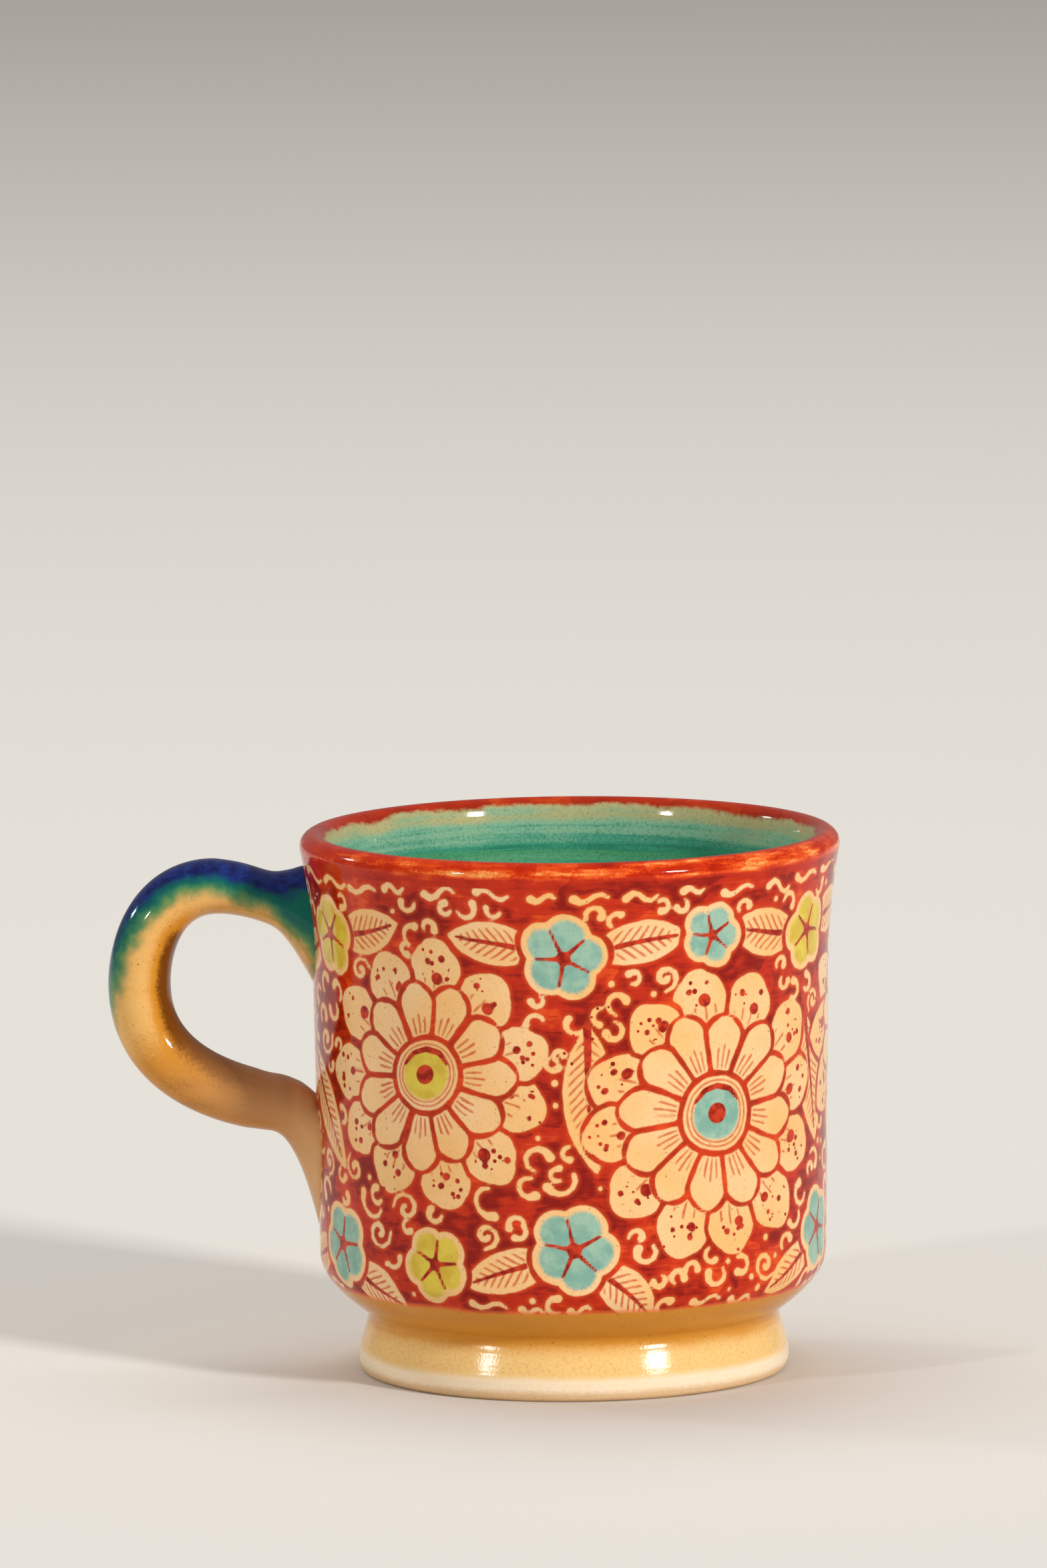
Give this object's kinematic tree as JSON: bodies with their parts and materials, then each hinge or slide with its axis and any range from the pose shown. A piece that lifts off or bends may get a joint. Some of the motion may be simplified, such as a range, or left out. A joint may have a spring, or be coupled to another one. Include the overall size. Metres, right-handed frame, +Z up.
{
  "type": "clay mug",
  "caption": "Hand-thrown clay mug on a flared foot ring, with a pulled loop handle on two flared joins, red slip on its outside and lip, and a green glaze lining.",
  "frame": {"origin": "middle of the plane that the foot ring rests on, on the mug's axis", "axes": "+Z up along the mug's axis, handle along -X, so +X is the long way of the mug and Y runs across the handle"},
  "size_m": [0.1221, 0.09, 0.0907],
  "materials": {
    "clay": "bare fired buff clay",
    "handle_clay": "honey glaze, cobalt to green over the crown",
    "red_slip": "brushed red slip under clear glaze",
    "rim_slip": "thin red slip under clear glaze",
    "green_glaze": "glossy green glaze",
    "honey_glaze": "glossy honey glaze"
  },
  "bodies": {
    "root": {"cup_body": "clay", "foot_ring": "clay", "handle_loop": "handle_clay", "upper_join": "handle_clay", "lower_join": "handle_clay", "outer_slip": "red_slip", "rim_slip": "rim_slip", "inner_glaze": "green_glaze", "foot_glaze": "honey_glaze"}
  },
  "joints": []
}
